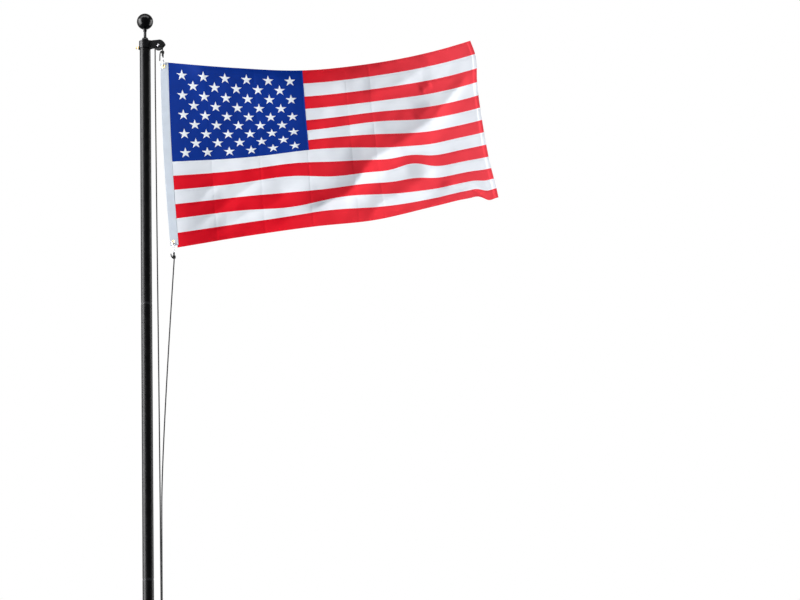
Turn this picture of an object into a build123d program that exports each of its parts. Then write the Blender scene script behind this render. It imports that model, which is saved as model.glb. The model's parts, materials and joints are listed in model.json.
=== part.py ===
from build123d import *
import math
import os

os.makedirs("parts", exist_ok=True)

# All sizes are in millimetres. Z is up, the foot of the pole is at z = 0 on the Z axis,
# and the truck's arm and the flag point along +X.

# Pole: equal tubes, each swaged at its foot to plug into the one below.
tube_od = 50.8
tube_wall = 1.6
section_count = 5
section_pitch = 1270.0
spigot_clearance = 0.1
spigot_length = 75.0
shoulder_step = 0.9
swage_height = 12.0
tube_edge = 0.5

tube_radius = tube_od / 2
bore_radius = tube_radius - tube_wall
spigot_radius = bore_radius - spigot_clearance
pole_top = section_count * section_pitch

# Pulley and its axle.
rope_radius = 3.0
rope_pitch_radius = 18.0
rope_to_groove = 0.3
rope_break = 0.5
rope_to_knot = 0.3
groove_wall = 2.2
groove_open = 0.6
rim_over_rope = 0.6
rim_width = 0.8
hub_radius = 7.0
hub_stand = 0.7
axle_radius = 3.0
axle_clearance = 0.08
axle_head_overhang = 1.75
axle_head_height = 1.6
axle_head_rounding = 1.0

groove_radius = rope_radius + rope_to_groove
pulley_width = 2 * (groove_radius + groove_wall)
pulley_radius = rope_pitch_radius + rope_radius + rim_over_rope

# Truck: a collar over the top tube, a domed cap for the finial and a slotted arm.
collar_clearance = 0.1
collar_wall = 2.9
collar_depth = 34.0
collar_rounding = 1.0
cap_thickness = 3.1
dome_step = 1.8
dome_neck_radius = 13.75
dome_height = 15.8
dome_lip = 2.5
dome_rounding = 0.8
flare_share = 0.35
arm_neck = 38.1
axle_height = 7.4
pulley_gap = 3.0
pulley_side_gap = 1.0
cheek_thickness = 3.5
slot_roof = 3.7
rope_room = 3.9
nose_reach = 9.0
nose_rise = 3.9
nose_share_x = 0.76
nose_share_z = 0.25
nose_start = 2.5
heel_set_back = 10.2
tip_rounding = 1.5
arm_chamfer = 0.9
root_step = 2.2
root_reach = 1.5
boss_length = 4.4
boss_over_screw = 5.2
boss_width = 13.0
boss_rounding = 2.0

collar_radius = tube_radius + collar_clearance + collar_wall
collar_foot = pole_top - collar_depth
collar_top = pole_top + cap_thickness
dome_top = collar_top + dome_height
dome_foot_radius = collar_radius - dome_step
axle_x = collar_radius + arm_neck
axle_z = collar_foot + axle_height
slot_top = axle_z + pulley_radius + pulley_gap
slot_start = axle_x - pulley_radius - rope_room
slot_width = pulley_width + 2 * pulley_side_gap
arm_top = slot_top + slot_roof
arm_height = arm_top - collar_foot
arm_width = slot_width + 2 * cheek_thickness
arm_reach = axle_x + pulley_radius + nose_reach
boss_reach = collar_radius + boss_length

# Thumb screw that clamps the collar to the tube.
screw_height = 8.8
screw_radius = 2.5
screw_clearance = 0.1
screw_shoulder_radius = 3.0
screw_waist_radius = 2.0
screw_stem_length = 8.8
screw_head_radius = 5.3
screw_head_length = 2.5
screw_head_rounding = 0.8

screw_z = collar_foot + screw_height

# Finial: a spindle, a round nut and a hollow ball of two shells.
spindle_radius = 6.6
spindle_floor = 1.8
spindle_into_ball = 16.0
spindle_clearance = 0.05
spindle_chamfer = 1.0
ring_height = 4.5
ring_depth = 0.4
neck_nut_wall = 2.0
neck_nut_height = 12.1
neck_nut_rounding = 1.0
nut_seat_gap = 1.0
ball_radius = 38.1
ball_wall = 1.2
ball_seam = 0.35
ball_height = 82.6

neck_nut_radius = spindle_radius + spindle_clearance + neck_nut_wall
spindle_foot = collar_top + spindle_floor
ball_z = dome_top + ball_height
ball_flat_z = ball_z - math.sqrt(ball_radius**2 - neck_nut_radius**2)

# Cleat on the second section, at hand height, with the halyard made fast on it.
cleat_section = 2
cleat_above_joint = 150.0
cleat_pad = 5.6
cleat_base_width = 22.0
cleat_base_end = 10.0
cleat_corner = 9.0
cleat_rounding = 1.5
cleat_leg_radius = 6.5
cleat_leg_flare = 2.5
cleat_leg_z = 17.0
horn_stand = 25.0
horn_lift = 5.0
horn_half = 70.0
horn_radius = 8.5
horn_middle_share = 0.86
horn_tip_radius = 5.0
cleat_screw_z = 38.0
cleat_screw_radius = 2.4
cleat_screw_clearance = 0.1
cleat_screw_head_radius = 4.6
cleat_screw_head_height = 2.6
cleat_screw_head_rounding = 1.6
cleat_screw_past_wall = 2.8

cleat_z = (cleat_section - 1) * section_pitch + cleat_above_joint
cleat_base_x = tube_radius + cleat_pad
cleat_base_half = cleat_screw_z + cleat_base_end
horn_x = cleat_base_x + horn_stand
horn_tip_x = horn_x + horn_lift

# The two falls of the halyard meet part of the way down and run on to the cleat side by side.
falls_meet_drop = 2273.0
inner_fall_stand = 32.6
fall_gap = 0.5
falls_meet_y = 3.5
falls_end_y = 10.0
falls_end_rise = 50.0
fall_bend = 1500.0

falls_meet_z = pole_top - falls_meet_drop
inner_fall_x = tube_radius + inner_fall_stand
outer_fall_x = inner_fall_x + 2 * rope_radius + fall_gap
falls_end_z = cleat_z + falls_end_rise

# Figure-of-eight turns of rope on the cleat.
winding_turns = 1.75
winding_gap = 0.4
winding_back_gap = 6.0
winding_front_gap = 3.5
winding_leg_gap = 2.5
winding_side_gap = 4.0
winding_bend = 10.0
winding_corners = 12
winding_lead = 10.0
winding_start = 315.0

winding_layer = 2 * rope_radius + winding_gap
winding_back_x = cleat_base_x + rope_radius + winding_back_gap
winding_front_x = horn_x + horn_radius + rope_radius + winding_front_gap
winding_half_height = cleat_leg_z + cleat_leg_radius + rope_radius + winding_leg_gap
winding_half_width = horn_radius + rope_radius + winding_side_gap

# The hoist line runs through the eyes of both snap hooks and is the flag's swing axis.
top_eye_drop = 82.0
bottom_eye_drop = 1035.0
top_eye_out = 1.5
bottom_eye_out = 46.5

rope_side_x = axle_x + rope_pitch_radius
top_eye = (rope_side_x + top_eye_out, 0.0, pole_top - top_eye_drop)
bottom_eye = (rope_side_x + bottom_eye_out, 0.0, pole_top - bottom_eye_drop)

# Snap hooks, measured from the middle of the eye towards the flag.
eye_ring_radius = 6.5
eye_wire = 1.8
stem_radius = 2.0
stem_overlap = 1.0
swivel_clearance = 0.08
barrel_gap = 2.2
barrel_radius = 5.0
barrel_length = 8.0
barrel_roof = 3.5
barrel_rounding = 0.8
button_radius = 3.4
button_thickness = 2.2
button_clearance = 0.3
hook_wire = 2.2
hook_reach = 27.5
hook_bend_radius = 8.0
hook_neck_rise = 10.0
hook_neck_bend = 7.0
nose_length = 2.5
gate_pivot_out = 0.8
gate_pivot_rise = 2.5
gate_eye_radius = 2.6
gate_eye_width = 2.4
gate_rod_radius = 1.6
gate_side_clearance = 0.3
gate_tip_gap = 0.4
gate_lug_thickness = 1.4
gate_lug_radius = 2.9
gate_pin_radius = 1.0
gate_pin_clearance = 0.08

barrel_start = eye_ring_radius + eye_wire + barrel_gap
barrel_end = barrel_start + barrel_length
button_start = barrel_start + barrel_roof
button_end = button_start + button_thickness
hook_bend = barrel_end + hook_reach
hook_straight_end = hook_bend - hook_bend_radius
hook_nose_start = hook_straight_end - nose_length
gate_pivot_y = barrel_radius + gate_pivot_out
gate_pivot_z = barrel_end + gate_pivot_rise
lug_half = gate_eye_width / 2 + gate_side_clearance + gate_lug_thickness

# Knot of the halyard at each eye: three wraps and a loop through the eye.
knot_loop_radius = 6.6
knot_loop_gap = 0.2
knot_wraps = 3
knot_wrap_radius = 4.6
knot_wrap_pitch = 5.6
tail_radius = 2.6
top_tail = (12.5, -13.5, 24.0)
bottom_tail = (-12.0, -8.0, -7.0)

knot_loop_z = eye_wire + knot_loop_gap + rope_radius - eye_ring_radius - knot_loop_radius
knot_half = (knot_wraps - 1) * knot_wrap_pitch / 2
knot_z = knot_loop_z - knot_loop_radius - rope_radius - knot_half
knot_end = knot_z - knot_half - rope_radius

# Flag: a canvas heading with two grommets and the cloth beside it.
heading_width = 34.0
heading_thickness = 2.4
heading_rounding = 1.0
heading_margin = 17.0
grommet_bore = 5.0
grommet_tube = 5.9
grommet_flange = 9.0
grommet_dome = 0.9
grommet_clearance = 0.1
grommet_to_hook = 0.5
cloth_thickness = 1.2
cloth_gap = 0.5

# Edges of the flying cloth, as shares of its length and as drops below the pole's top.
fly_top = [(0.225, 174.0), (0.449, 220.0), (0.633, 223.0), (0.817, 206.0), (0.908, 185.0), (1.0, 160.0)]
fly_bottom = [(0.216, 990.0), (0.43, 974.0), (0.62, 969.0), (0.716, 952.0), (0.811, 929.0), (1.0, 915.0)]
fly_top_length = 1456.5
fly_bottom_length = 1557.5

# Folds: corners of the crest's line as shares along the fly and down the hoist, how far the crest
# stands back, and how wide the fold is above and below its line. The main one is a ridge on a broad swell.
main_fold = [(0.4, 0.9), (0.53, 0.83), (0.61, 0.654), (0.745, 0.5), (0.905, 0.346), (0.96, 0.27)]
second_fold = [(0.58, 1.04), (0.655, 0.885), (0.805, 0.73), (0.85, 0.65)]
swell = [(-0.35, 1.35), (-0.1, 1.15), (0.3, 0.97)] + main_fold[1:-1] + [(1.02, 0.1), (1.15, -0.2), (1.3, -0.6)]
folds = [(swell, 30.0, 750.0, 650.0), (main_fold, 22.0, 130.0, 100.0), (second_fold, 16.0, 120.0, 90.0)]
fold_crest = 40.0
fold_power = 1.6
fold_fade = 0.22
still_share = 0.2
fold_lean_x = -0.24
fold_lean_z = 0.35
fly_columns = 27
fly_rows = 19


def turned(points):
    """Solid turned about Z from its (radius, height) corners."""
    return revolve(Plane.XZ * make_face(Polyline(*points, close=True)), Axis.Z)


def rod(radius, start, end, end_radius=None):
    """Round bar between two points, tapered if a second radius is given."""
    run = Vector(*end) - Vector(*start)
    seat = Plane(origin=start, z_dir=run)
    low = (Align.CENTER, Align.CENTER, Align.MIN)
    if end_radius is None:
        return seat * Cylinder(radius, run.length, align=low)
    return seat * Cone(radius, end_radius, run.length, align=low)


def button(radius, height, rounding):
    """Round head on z = 0 with its outer edge rounded."""
    head = Cylinder(radius, height, align=(Align.CENTER, Align.CENTER, Align.MIN))
    return fillet(head.edges().sort_by(Axis.Z)[-1:], rounding)


def rope(points, bend):
    """Rope along straight runs joined by arcs of one radius."""
    path = FilletPolyline(*points, radius=bend)
    return sweep(Plane(origin=path @ 0, z_dir=path % 0) * Circle(rope_radius), path)


def save(solid, name):
    export_step(solid, f"parts/{name}.step")


# Pole sections


def pole_section(number):
    foot = (number - 1) * section_pitch
    top = number * section_pitch
    rim = [(tube_radius, top - tube_edge), (tube_radius - tube_edge, top), (bore_radius, top)]
    if number == 1:
        start = [(bore_radius, foot), (tube_radius - tube_edge, foot), (tube_radius, foot + tube_edge)]
        return turned(start + rim)
    swage = [
        (bore_radius, foot + swage_height),
        (spigot_radius - tube_wall, foot),
        (spigot_radius - tube_wall, foot - spigot_length),
        (spigot_radius - tube_edge, foot - spigot_length),
        (spigot_radius, foot - spigot_length + tube_edge),
        (spigot_radius, foot),
        (spigot_radius + shoulder_step, foot),
        (tube_radius, foot + swage_height),
    ]
    return turned(swage + rim)


for number in range(1, section_count + 1):
    section = pole_section(number)
    if number == cleat_section:
        for side in (-1, 1):
            z = cleat_z + side * cleat_screw_z
            section -= rod(cleat_screw_radius + cleat_screw_clearance, (0, 0, z), (tube_od, 0, z))
    save(section, f"pole_section_{number}")


# Truck


def truck_cap():
    """Collar and flared dome, solid so far."""
    lip_z = dome_top - dome_lip
    flare = ThreePointArc(
        (dome_foot_radius, collar_top),
        (
            dome_neck_radius + flare_share * (dome_foot_radius - dome_neck_radius),
            collar_top + flare_share * (lip_z - collar_top),
        ),
        (dome_neck_radius, lip_z),
    )
    outline = Polyline(
        (dome_neck_radius, lip_z),
        (dome_neck_radius, dome_top - dome_rounding),
        (dome_neck_radius - dome_rounding, dome_top),
        (0, dome_top),
        (0, collar_foot),
        (collar_radius - collar_rounding, collar_foot),
        (collar_radius, collar_foot + collar_rounding),
        (collar_radius, collar_top - collar_rounding),
        (collar_radius - collar_rounding, collar_top),
        (dome_foot_radius, collar_top),
    )
    return revolve(Plane.XZ * make_face([flare, outline]), Axis.Z)


def truck_arm():
    """Arm with a broader root, cut to its rounded side outline."""
    tip = (arm_reach, axle_z + nose_rise)
    start = (axle_x - nose_start, arm_top)
    nose = ThreePointArc(
        start,
        (axle_x + nose_share_x * (arm_reach - axle_x), arm_top - nose_share_z * arm_height),
        tip,
    )
    inside = bore_radius
    side = Polyline(tip, (arm_reach - heel_set_back, collar_foot), (inside, collar_foot), (inside, arm_top), start)
    outline = make_face([nose, side])
    outline = fillet(outline.vertices().sort_by(Axis.X)[-1:], tip_rounding)
    cheek = extrude(Plane.XZ * outline, arm_width / 2, both=True)
    cheek = chamfer(cheek.faces().filter_by(Axis.Y).edges(), arm_chamfer)

    root_x = collar_radius + root_reach
    half = arm_width / 2
    plan = make_face(
        Polyline(
            (inside, -half - root_step),
            (root_x, -half - root_step),
            (root_x + root_step, -half),
            (root_x + root_step, half),
            (root_x, half + root_step),
            (inside, half + root_step),
            close=True,
        )
    )
    return cheek + extrude(Plane.XY.offset(collar_foot) * plan, arm_height)


def pulley_slot():
    """Room for the pulley and the rope, open at the bottom."""
    low = (Align.MIN, Align.CENTER, Align.MIN)
    foot = collar_foot - slot_roof
    room = slot_top - axle_z
    slot = Pos(slot_start, 0, foot) * Box(axle_x - slot_start, slot_width, slot_top - foot, align=low)
    slot += Pos(axle_x, 0, axle_z) * Rot(90, 0, 0) * Cylinder(room, slot_width)
    return slot + Pos(axle_x, 0, foot) * Box(arm_reach, slot_width, axle_z - foot, align=low)


def truck():
    body = truck_cap() + truck_arm()
    boss = Pos(-boss_reach, 0, collar_foot) * Box(
        boss_reach - bore_radius,
        boss_width,
        screw_height + boss_over_screw,
        align=(Align.MIN, Align.CENTER, Align.MIN),
    )
    body += fillet(boss.faces().sort_by(Axis.X)[0].edges(), boss_rounding)
    body -= pulley_slot()
    body -= rod(tube_radius + collar_clearance, (0, 0, collar_foot - cap_thickness), (0, 0, pole_top))
    body -= rod(spindle_radius + spindle_clearance, (0, 0, spindle_foot), (0, 0, dome_top + dome_lip))
    body -= rod(screw_radius + screw_clearance, (-2 * boss_reach, 0, screw_z), (0, 0, screw_z))
    body -= rod(axle_radius + axle_clearance, (axle_x, -arm_width, axle_z), (axle_x, arm_width, axle_z))
    return body


save(truck(), "truck")


def thumb_screw():
    """Turned knob with a waist, pointing along +Z from the boss's face at z = 0."""
    head_foot = screw_stem_length
    head_top = screw_stem_length + screw_head_length
    waist = ThreePointArc(
        (screw_shoulder_radius, 0),
        (screw_waist_radius, screw_stem_length / 2),
        (screw_shoulder_radius, screw_stem_length),
    )
    outline = Polyline(
        (screw_shoulder_radius, head_foot),
        (screw_head_radius, head_foot),
        (screw_head_radius, head_top - screw_head_rounding),
        (screw_head_radius - screw_head_rounding, head_top),
        (0, head_top),
        (0, tube_radius - boss_reach),
        (screw_radius, tube_radius - boss_reach),
        (screw_radius, 0),
        (screw_shoulder_radius, 0),
    )
    return revolve(Plane.XZ * make_face([waist, outline]), Axis.Z)


save(Plane(origin=(-boss_reach, 0, screw_z), z_dir=(-1, 0, 0)) * thumb_screw(), "thumb_screw")


# Pulley and axle


def pulley():
    half = pulley_width / 2
    wall = math.sqrt(groove_radius**2 - groove_open**2)
    bore = axle_radius + axle_clearance
    profile = Polyline(
        (bore, -half - hub_stand),
        (hub_radius, -half - hub_stand),
        (hub_radius, -half),
        (pulley_radius - rim_width, -half),
        (pulley_radius, -half + rim_width),
        (rope_pitch_radius, -wall),
        (rope_pitch_radius, wall),
        (pulley_radius, half - rim_width),
        (pulley_radius - rim_width, half),
        (hub_radius, half),
        (hub_radius, half + hub_stand),
        (bore, half + hub_stand),
        close=True,
    )
    wheel = revolve(Plane.XY * make_face(profile), Axis.Y)
    wheel -= Rot(90, 0, 0) * Torus(rope_pitch_radius, groove_radius)
    return Pos(axle_x, 0, axle_z) * wheel


save(pulley(), "pulley")

cheek = arm_width / 2
axle = rod(axle_radius, (axle_x, -cheek, axle_z), (axle_x, cheek, axle_z))
for end in (-1, 1):
    face = Plane(origin=(axle_x, end * cheek, axle_z), z_dir=(0, end, 0))
    axle += face * button(axle_radius + axle_head_overhang, axle_head_height, axle_head_rounding)
save(axle, "axle_pin")


# Finial


def spindle():
    ring_z = dome_top + ring_height
    top = ball_flat_z + spindle_into_ball
    return turned(
        [
            (0, spindle_foot),
            (spindle_radius, spindle_foot),
            (spindle_radius, ring_z - ring_depth),
            (spindle_radius - ring_depth, ring_z),
            (spindle_radius, ring_z + ring_depth),
            (spindle_radius, top - spindle_chamfer),
            (spindle_radius - spindle_chamfer, top),
            (0, top),
        ]
    )


save(spindle(), "finial_spindle")

nut = button(neck_nut_radius, neck_nut_height, neck_nut_rounding)
nut = Pos(0, 0, ball_flat_z) * Rot(180, 0, 0) * nut
nut -= rod(spindle_radius + spindle_clearance, (0, 0, dome_top), (0, 0, ball_z))
save(nut, "neck_nut")


def ball():
    """Hollow ball about the origin with a shallow groove round its middle."""
    outside = ball_radius + ball_wall
    seam_half = ball_seam + ball_wall
    seam = turned([(ball_radius - ball_seam, 0), (outside, -seam_half), (outside, seam_half)])
    return Sphere(ball_radius) - Sphere(ball_radius - ball_wall) - seam


size = 4 * ball_radius
half_space = Box(size, size, size, align=(Align.CENTER, Align.CENTER, Align.MIN))
upper = Pos(0, 0, ball_z) * (ball() & half_space)
lower = Pos(0, 0, ball_z) * (ball() - half_space)
lower -= rod(neck_nut_radius + nut_seat_gap, (0, 0, dome_top), (0, 0, ball_flat_z))
lower -= rod(spindle_radius + spindle_clearance, (0, 0, dome_top), (0, 0, ball_z))
save(upper, "ball_upper")
save(lower, "ball_lower")


# Cleat


def cleat_leg():
    """Leg along +Z from z = 0, with both ends flared."""
    flared = cleat_leg_radius + cleat_leg_flare
    side = ThreePointArc((flared, 0), (cleat_leg_radius, horn_stand / 2), (flared, horn_stand))
    ends = Polyline((flared, horn_stand), (0, horn_stand), (0, 0), (flared, 0))
    return revolve(Plane.XZ * make_face([side, ends]), Axis.Z)


def cleat_horns():
    """Both horns in one, curving away from the pole to their round tips."""
    middle_x = horn_x + horn_lift / 4
    places = [
        (-horn_half, horn_tip_x, horn_tip_radius),
        (-horn_half / 2, middle_x, horn_radius * horn_middle_share),
        (0, horn_x, horn_radius),
        (horn_half / 2, middle_x, horn_radius * horn_middle_share),
        (horn_half, horn_tip_x, horn_tip_radius),
    ]
    horns = loft([Plane(origin=(x, 0, cleat_z + z)) * Circle(radius) for z, x, radius in places])
    for side in (-1, 1):
        horns += Pos(horn_tip_x, 0, cleat_z + side * horn_half) * Sphere(horn_tip_radius)
    return horns


def cleat():
    base = Pos(0, 0, cleat_z) * Box(
        cleat_base_x, cleat_base_width, 2 * cleat_base_half, align=(Align.MIN, Align.CENTER, Align.CENTER)
    )
    base = fillet(base.edges().filter_by(Axis.X), cleat_corner)
    base = fillet(base.faces().sort_by(Axis.X)[-1].edges(), cleat_rounding)
    base -= rod(tube_radius, (0, 0, cleat_z - horn_half), (0, 0, cleat_z + horn_half))
    body = base + cleat_horns()
    for side in (-1, 1):
        foot = Plane(origin=(cleat_base_x, 0, cleat_z + side * cleat_leg_z), z_dir=(1, 0, 0))
        body += foot * cleat_leg()
        z = cleat_z + side * cleat_screw_z
        body -= rod(cleat_screw_radius + cleat_screw_clearance, (0, 0, z), (cleat_base_x + cleat_pad, 0, z))
    return body


save(cleat(), "cleat")

for name, side in (("cleat_screw_lower", -1), ("cleat_screw_upper", 1)):
    z = cleat_z + side * cleat_screw_z
    end_x = bore_radius - cleat_screw_past_wall
    screw = rod(cleat_screw_radius, (end_x, 0, z), (cleat_base_x, 0, z))
    seat = Plane(origin=(cleat_base_x, 0, z), z_dir=(1, 0, 0))
    screw += seat * button(cleat_screw_head_radius, cleat_screw_head_height, cleat_screw_head_rounding)
    save(screw, name)


# Hoist line: each hook's frame has its origin at the eye, Z towards the flag and Y along the pole's Y.


def hoist_frame(start, end):
    along = (Vector(*end) - Vector(*start)).normalized()
    return Plane(origin=start, x_dir=Vector(0, 1, 0).cross(along), z_dir=along)


top_frame = hoist_frame(top_eye, bottom_eye)
bottom_frame = hoist_frame(bottom_eye, top_eye)


def hook_eye():
    ring = Rot(90, 0, 0) * Torus(eye_ring_radius, eye_wire)
    stem = rod(stem_radius, (0, 0, eye_ring_radius + stem_overlap), (0, 0, button_end))
    return ring + stem + rod(button_radius, (0, 0, button_start), (0, 0, button_end))


def hook_path():
    """Centre line of the hook's wire: out of the barrel, up one side and round to the nose."""
    side_y = -hook_bend_radius
    neck = FilletPolyline(
        (0, 0, barrel_end - stem_overlap),
        (0, side_y, barrel_end + hook_neck_rise),
        (0, side_y, hook_straight_end),
        radius=hook_neck_bend,
    )
    bend = ThreePointArc((0, side_y, hook_straight_end), (0, 0, hook_bend), (0, -side_y, hook_straight_end))
    nose = Line((0, -side_y, hook_straight_end), (0, -side_y, hook_nose_start))
    return Wire(neck.edges() + [bend.edge(), nose.edge()])


def hook_body():
    barrel = button(barrel_radius, barrel_length, barrel_rounding)
    body = Pos(0, 0, barrel_start) * barrel
    path = hook_path()
    body += sweep(Plane(origin=path @ 0, z_dir=path % 0) * Circle(hook_wire), path)
    lug_foot = barrel_end - barrel_roof / 2
    lug = Pos(0, 0, lug_foot) * Box(
        2 * lug_half,
        gate_pivot_y,
        gate_pivot_z + gate_lug_radius - lug_foot,
        align=(Align.CENTER, Align.MIN, Align.MIN),
    )
    lug += rod(gate_lug_radius, (-lug_half, gate_pivot_y, gate_pivot_z), (lug_half, gate_pivot_y, gate_pivot_z))
    body += lug
    gate_space = gate_eye_radius + gate_side_clearance
    reach = gate_pivot_y + gate_lug_radius
    body -= Pos(0, gate_pivot_y - gate_space, gate_pivot_z - gate_space) * Box(
        gate_eye_width + 2 * gate_side_clearance,
        reach,
        4 * gate_space,
        align=(Align.CENTER, Align.MIN, Align.MIN),
    )
    body -= rod(stem_radius + swivel_clearance, (0, 0, 0), (0, 0, button_start))
    body -= rod(
        button_radius + button_clearance,
        (0, 0, button_start - button_clearance),
        (0, 0, button_end + button_clearance),
    )
    body -= rod(gate_pin_radius, (-reach, gate_pivot_y, gate_pivot_z), (reach, gate_pivot_y, gate_pivot_z))
    return body


def hook_gate():
    half = gate_eye_width / 2
    gate = rod(gate_eye_radius, (-half, gate_pivot_y, gate_pivot_z), (half, gate_pivot_y, gate_pivot_z))
    tip = (0, hook_bend_radius, hook_nose_start - gate_tip_gap)
    gate += rod(half, (0, gate_pivot_y, gate_pivot_z), tip, gate_rod_radius)
    bore = gate_pin_radius + gate_pin_clearance
    return gate - rod(bore, (-lug_half, gate_pivot_y, gate_pivot_z), (lug_half, gate_pivot_y, gate_pivot_z))


def gate_pin():
    return rod(gate_pin_radius, (-lug_half, gate_pivot_y, gate_pivot_z), (lug_half, gate_pivot_y, gate_pivot_z))


def knot(tail):
    solid = Pos(0, 0, knot_loop_z) * Rot(0, 90, 0) * Torus(knot_loop_radius, rope_radius)
    solid += rod(rope_radius, (0, 0, knot_end), (0, 0, knot_z + knot_half))
    for wrap in range(knot_wraps):
        solid += Pos(0, 0, knot_z - knot_half + wrap * knot_wrap_pitch) * Torus(knot_wrap_radius, rope_radius)
    return solid + rod(tail_radius, (0, 0, knot_z), tail) + Pos(*tail) * Sphere(tail_radius)


for frame, place, tail in ((top_frame, "top", top_tail), (bottom_frame, "bottom", bottom_tail)):
    save(frame * hook_eye(), f"hook_eye_{place}")
    save(frame * hook_body(), f"hook_body_{place}")
    save(frame * hook_gate(), f"hook_gate_{place}")
    save(frame * gate_pin(), f"gate_pin_{place}")
    save(frame * knot(tail), f"knot_{place}")


# Halyard

size = 4 * rope_pitch_radius
half_space = Box(size, size, size, align=(Align.CENTER, Align.CENTER, Align.MIN))
bight = Rot(90, 0, 0) * Torus(rope_pitch_radius, rope_radius) & half_space
save(Pos(axle_x, 0, axle_z) * bight, "halyard_bight")

inner_fall = rope(
    [
        (axle_x - rope_pitch_radius, 0, axle_z),
        (inner_fall_x, falls_meet_y, falls_meet_z),
        (inner_fall_x, falls_end_y, falls_end_z),
    ],
    fall_bend,
)
save(inner_fall, "halyard_inner_fall")

top_run_end = top_frame.from_local_coords(Vector(0, 0, knot_end - rope_to_knot))
top_run = rod(rope_radius, (rope_side_x, 0, axle_z - rope_break), tuple(top_run_end))
save(top_run, "halyard_top_run")

outer_start = bottom_frame.from_local_coords(Vector(0, 0, knot_end - rope_to_knot))
outer_fall = rope(
    [
        (outer_fall_x, -falls_end_y, falls_end_z + rope_break),
        (outer_fall_x, -falls_meet_y, falls_meet_z),
        tuple(outer_start),
    ],
    fall_bend,
)
save(outer_fall, "halyard_outer_fall")


def winding():
    steps = round(winding_turns * winding_corners)
    lead_z = falls_end_z - winding_lead
    points = [(inner_fall_x, falls_end_y, falls_end_z), (inner_fall_x, falls_end_y, lead_z)]
    for step in range(steps + 1):
        turn = step / winding_corners
        angle = math.radians(winding_start) - 2 * math.pi * turn
        layer = winding_layer * turn
        middle = (winding_back_x + winding_front_x + 2 * layer) / 2
        swing = (winding_front_x + 2 * layer - winding_back_x) / 2
        points.append(
            (
                middle - swing * math.cos(2 * angle),
                -(winding_half_width + layer) * math.sin(2 * angle),
                cleat_z + (winding_half_height + layer) * math.cos(angle),
            )
        )
    points += [(outer_fall_x, -falls_end_y, lead_z), (outer_fall_x, -falls_end_y, falls_end_z)]
    return rope(points, winding_bend)


save(winding(), "halyard_winding")


# Flag

hook_to_grommet = hook_bend - hook_wire - grommet_to_hook + grommet_bore
hoist_length = (Vector(*bottom_eye) - Vector(*top_eye)).length
heading_length = hoist_length - 2 * hook_to_grommet + 2 * heading_margin
heading_top = hook_to_grommet - heading_margin
grommet_places = (hook_to_grommet, hoist_length - hook_to_grommet)

heading = Pos(0, 0, heading_top) * Box(
    heading_width, heading_thickness, heading_length, align=(Align.CENTER, Align.CENTER, Align.MIN)
)
heading = fillet(heading.edges().filter_by(Axis.Z), heading_rounding)
for z in grommet_places:
    hole = grommet_tube + grommet_clearance
    heading -= rod(hole, (0, -heading_thickness, z), (0, heading_thickness, z))
save(top_frame * heading, "flag_heading")


def grommet():
    """Eyelet about Z with a domed rim on each face."""
    half = heading_thickness / 2
    middle = (grommet_bore + grommet_flange) / 2
    rims = [
        ThreePointArc((grommet_bore, side * half), (middle, side * (half + grommet_dome)), (grommet_flange, side * half))
        for side in (-1, 1)
    ]
    outside = Polyline(
        (grommet_flange, half), (grommet_tube, half), (grommet_tube, -half), (grommet_flange, -half)
    )
    inside = Line((grommet_bore, -half), (grommet_bore, half))
    return revolve(Plane.XZ * make_face([*rims, outside, inside]), Axis.Z)


for name, z in zip(("grommet_top", "grommet_bottom"), grommet_places):
    save(top_frame * Pos(0, 0, z) * Rot(90, 0, 0) * grommet(), name)


def smooth(table, share):
    """Value at share of a table of (share, value) pairs, with an even slope through its points."""
    slopes = []
    for k in range(len(table)):
        before, after = table[max(k - 1, 0)], table[min(k + 1, len(table) - 1)]
        slopes.append((after[1] - before[1]) / (after[0] - before[0]))
    k = 0
    while k < len(table) - 2 and share > table[k + 1][0]:
        k += 1
    (u0, z0), (u1, z1) = table[k], table[k + 1]
    t = (share - u0) / (u1 - u0)
    rise = (z1 - z0) * (3 * t**2 - 2 * t**3)
    start = slopes[k] * (t**3 - 2 * t**2 + t)
    end = slopes[k + 1] * (t**3 - t**2)
    return z0 + rise + (u1 - u0) * (start + end)


def beside_line(place, corners):
    """Distance to a line of corners, whether it is below the line, how far along it, and its length."""
    nearest = None
    length = 0.0
    for start, end in zip(corners, corners[1:]):
        leg = end - start
        share = min(1, max(0, (place - start).dot(leg) / leg.dot(leg)))
        gap = place - (start + leg * share)
        if nearest is None or gap.length < nearest[0]:
            nearest = (gap.length, leg.cross(gap).Z > 0, length + leg.length * share)
        length += leg.length
    return *nearest, length


def eased(share):
    """Share held between 0 and 1, with a soft start and end."""
    held = min(1, max(0, share))
    return held * held * (3 - 2 * held)


def fold_height(u, v):
    """How far the cloth stands back from the flag's plane, u along the fly and v down the hoist."""
    place = Vector(u * fly_top_length, v * heading_length)
    height = 0.0
    for corners, rise, above, below in folds:
        line = [Vector(along * fly_top_length, down * heading_length) for along, down in corners]
        distance, is_below, along, length = beside_line(place, line)
        width = below if is_below else above
        crest = math.hypot(distance, fold_crest) - fold_crest
        fade = eased(along / length / fold_fade) * eased((1 - along / length) / fold_fade)
        height += rise * fade * max(0, 1 - crest / width) ** fold_power
    return height * eased(u / still_share)


def fly_point(u, v, start, end):
    """Point on the middle of the cloth; a fold leans along the line it is seen from."""
    top = smooth([(0.0, start.Z)] + [(share, pole_top - drop) for share, drop in fly_top], u)
    bottom = smooth([(0.0, end.Z)] + [(share, pole_top - drop) for share, drop in fly_bottom], u)
    y = fold_height(u, v)
    x = (1 - v) * (start.X + fly_top_length * u) + v * (end.X + fly_bottom_length * u)
    z = (1 - v) * top + v * bottom
    return Vector(x + fold_lean_x * y, y, z + fold_lean_z * y)


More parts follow.
